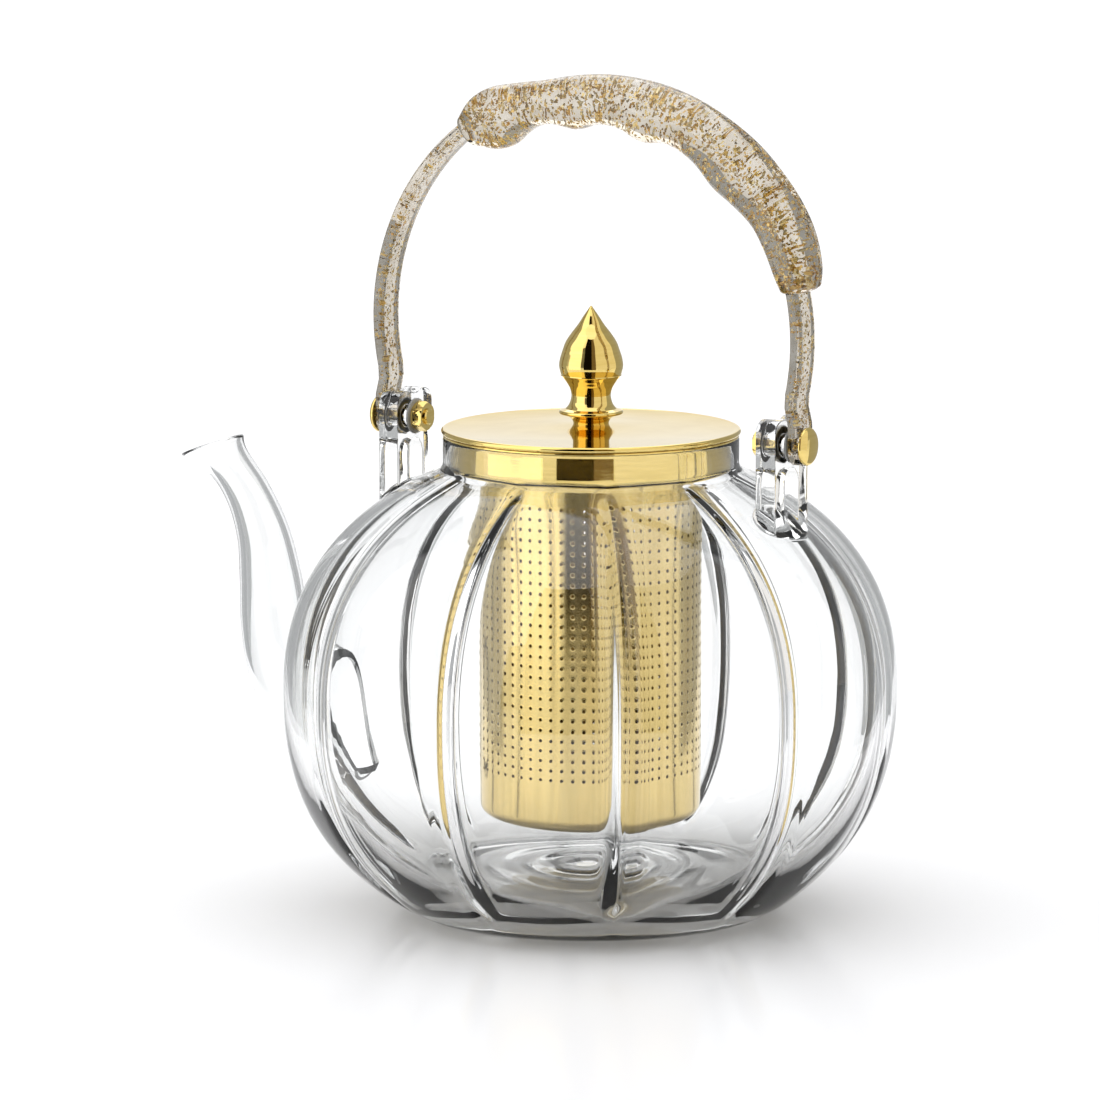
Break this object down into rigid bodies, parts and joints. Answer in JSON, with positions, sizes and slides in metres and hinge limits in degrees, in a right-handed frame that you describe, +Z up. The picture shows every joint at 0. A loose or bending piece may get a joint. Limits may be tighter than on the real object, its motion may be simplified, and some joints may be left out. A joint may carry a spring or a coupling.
{
  "type": "teapot",
  "caption": "Lobed clear glass teapot with a gold perforated infuser, a flat gold lid with a bud knob and a swinging gold-flake acrylic bail handle.",
  "frame": {"origin": "centre of the flat foot the pot stands on", "axes": "+Z up, -X towards the spout, the handle's pivot line along X"},
  "size_m": [0.1918, 0.147, 0.2043],
  "materials": {
    "clear_glass": "polished borosilicate",
    "lug_glass": "fire-polished",
    "flake_acrylic": "clear acrylic with gold foil flakes",
    "satin_gold": "satin gold coated stainless steel",
    "polished_gold": "polished gold coated stainless steel",
    "silicone": "translucent silicone"
  },
  "bodies": {
    "pot": {"glass_body": "clear_glass", "glass_spout": "clear_glass", "lug_front": "lug_glass", "pivot_bolt_front": "polished_gold", "pivot_washer_front": "silicone", "pivot_bush_front": "silicone", "inner_washer_front": "silicone", "pivot_nut_front": "polished_gold", "lug_rear": "lug_glass", "pivot_bolt_rear": "polished_gold", "pivot_washer_rear": "silicone", "pivot_bush_rear": "silicone", "inner_washer_rear": "silicone", "pivot_nut_rear": "polished_gold"},
    "infuser": {"infuser_basket": "satin_gold", "infuser_collar": "polished_gold"},
    "lid": {"lid_disc": "polished_gold", "lid_ring": "satin_gold", "knob": "polished_gold", "knob_washer": "silicone", "knob_screw": "satin_gold"},
    "handle": {"handle_strap": "flake_acrylic", "handle_grip": "flake_acrylic"}
  },
  "joints": [
    {"name": "handle_swing", "type": "hinge", "parent": "pot", "child": "handle", "pos_m": [0, 0, 0.1177], "axis": [1, 0, 0], "range_deg": [-95, 95]},
    {"name": "infuser_lift", "type": "slide", "parent": "pot", "child": "infuser", "axis": [0, 0, 1], "range_m": [0, 0.015]},
    {"name": "lid_lift", "type": "slide", "parent": "infuser", "child": "lid", "axis": [0, 0, 1], "range_m": [0, 0.025]}
  ]
}
